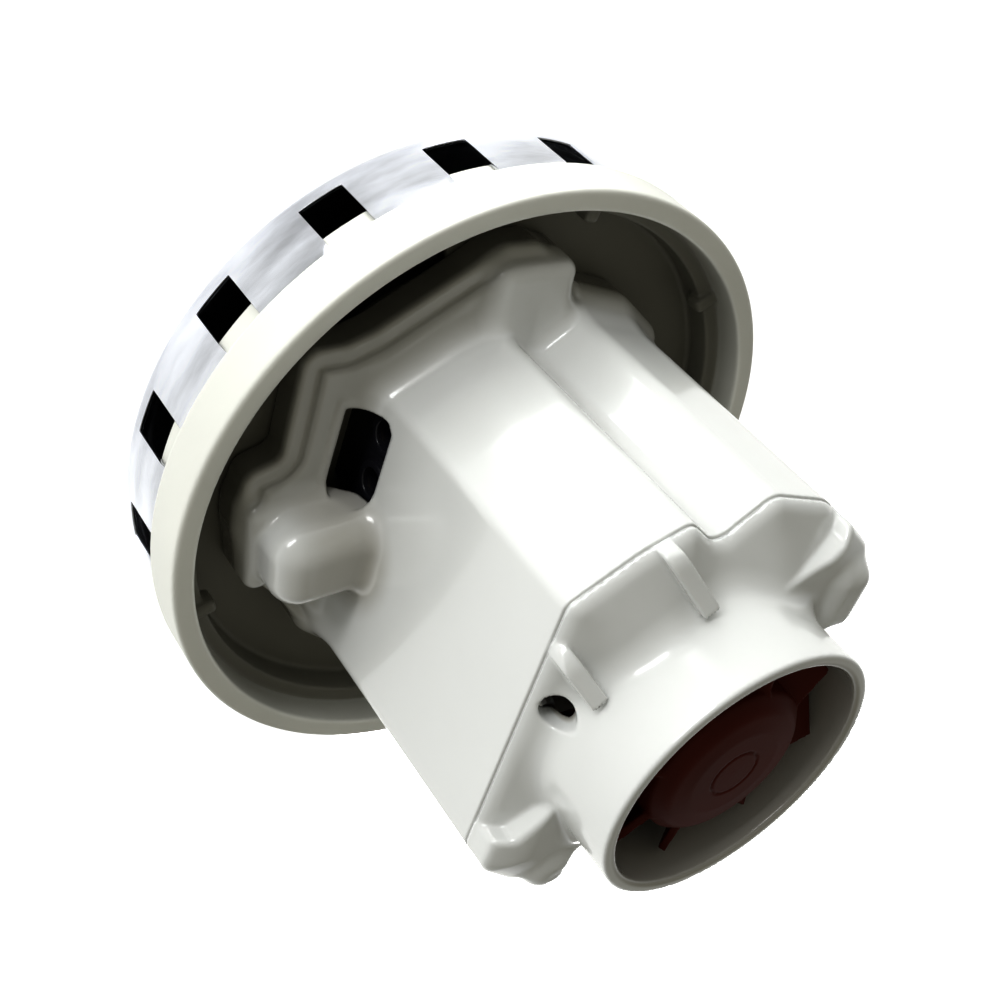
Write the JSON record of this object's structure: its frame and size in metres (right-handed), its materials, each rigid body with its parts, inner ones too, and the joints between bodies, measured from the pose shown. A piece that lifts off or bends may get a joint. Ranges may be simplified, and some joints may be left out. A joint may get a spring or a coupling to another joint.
{
  "type": "bypass suction motor",
  "caption": "Vacuum-cleaner bypass suction motor: windowed turbine can, mounting flange ring, moulded motor hood and a collar with a cooling fan.",
  "frame": {"origin": "centre of the turbine can's flat end face, on the shaft axis", "axes": "+Z along the shaft towards the cooling-air collar, +Y out of the hood's flat side with the connector slot, +X completes a right-handed set"},
  "size_m": [0.145, 0.145, 0.119],
  "materials": {
    "can_metal": "bright drawn sheet",
    "ivory_plastic": "satin moulded",
    "gloss_white_plastic": "glossy moulded, warm white",
    "red_brown_plastic": "dark red-brown moulded",
    "black_plastic": "black moulded",
    "seal_rubber": "soft black",
    "shaft_steel": "ground",
    "bearing_steel": "polished",
    "lamination_steel": "dull stacked sheet",
    "zinc_steel": "zinc plated",
    "aluminium_sheet": "mill finish",
    "copper_wire": null,
    "copper_bar": null,
    "brass": "bare",
    "carbon": null,
    "insulation": "cream sleeve",
    "cage_nylon": "natural nylon",
    "spring_steel": "drawn wire"
  },
  "bodies": {
    "housing": {"bearing_bridge": "zinc_steel", "bridge_screw_back": "zinc_steel", "bridge_screw_front": "zinc_steel", "brush_cap_back": "black_plastic", "brush_cap_front": "black_plastic", "brush_holder_back": "brass", "brush_holder_front": "brass", "brush_spring_back": "spring_steel", "brush_spring_front": "spring_steel", "coil_lead_left": "insulation", "coil_lead_right": "insulation", "connector_block": "black_plastic", "connector_pin_1": "brass", "connector_pin_2": "brass", "end_cover": "gloss_white_plastic", "field_coil_left": "copper_wire", "field_coil_right": "copper_wire", "flange_housing": "ivory_plastic", "hood_screw_1": "zinc_steel", "hood_screw_2": "zinc_steel", "hood_screw_3": "zinc_steel", "hood_screw_4": "zinc_steel", "inlet_seal_ring": "seal_rubber", "lower_bearing_outer_race": "bearing_steel", "motor_hood": "gloss_white_plastic", "stator_core": "lamination_steel", "turbine_can": "can_metal", "upper_bearing_outer_race": "bearing_steel"},
    "rotor": {"shaft": "shaft_steel", "armature_core": "lamination_steel", "armature_winding_lower": "copper_wire", "armature_winding_upper": "copper_wire", "armature_collar_lower": "insulation", "armature_collar_upper": "insulation", "commutator_hub": "black_plastic", "commutator_bars": "copper_bar", "cooling_fan": "red_brown_plastic", "impeller_shroud": "aluminium_sheet", "impeller_rear_disc": "aluminium_sheet", "impeller_washer": "zinc_steel", "impeller_spacer": "zinc_steel", "impeller_nut": "zinc_steel", "lower_bearing_inner_race": "bearing_steel", "upper_bearing_inner_race": "bearing_steel"},
    "lower_cage": {"lower_ball_cage": "cage_nylon"},
    "upper_cage": {"upper_ball_cage": "cage_nylon"},
    "brush_front": {"carbon_brush_front": "carbon"},
    "brush_back": {"carbon_brush_back": "carbon"}
  },
  "joints": [
    {"name": "rotor_spin", "type": "hinge", "parent": "housing", "child": "rotor", "pos_m": [0, 0, 0.06], "axis": [0, 0, 1], "continuous": true},
    {"name": "lower_cage_spin", "type": "hinge", "parent": "housing", "child": "lower_cage", "pos_m": [0, 0, 0.0239], "axis": [0, 0, 1], "continuous": true},
    {"name": "upper_cage_spin", "type": "hinge", "parent": "housing", "child": "upper_cage", "pos_m": [0, 0, 0.0925], "axis": [0, 0, 1], "continuous": true},
    {"name": "brush_front_slide", "type": "slide", "parent": "housing", "child": "brush_front", "axis": [-0.1736, 0.9848, 0], "range_m": [0, 0.006], "stiffness_N_per_m": 120, "springref_m": -0.02, "deforming": ["brush_spring_front"]},
    {"name": "brush_back_slide", "type": "slide", "parent": "housing", "child": "brush_back", "axis": [0.1736, -0.9848, 0], "range_m": [0, 0.006], "stiffness_N_per_m": 120, "springref_m": -0.02, "deforming": ["brush_spring_back"]}
  ],
  "couplings": [
    {"joint": "lower_cage_spin", "follows": "rotor_spin", "ratio": 0.41},
    {"joint": "upper_cage_spin", "follows": "rotor_spin", "ratio": 0.41}
  ]
}
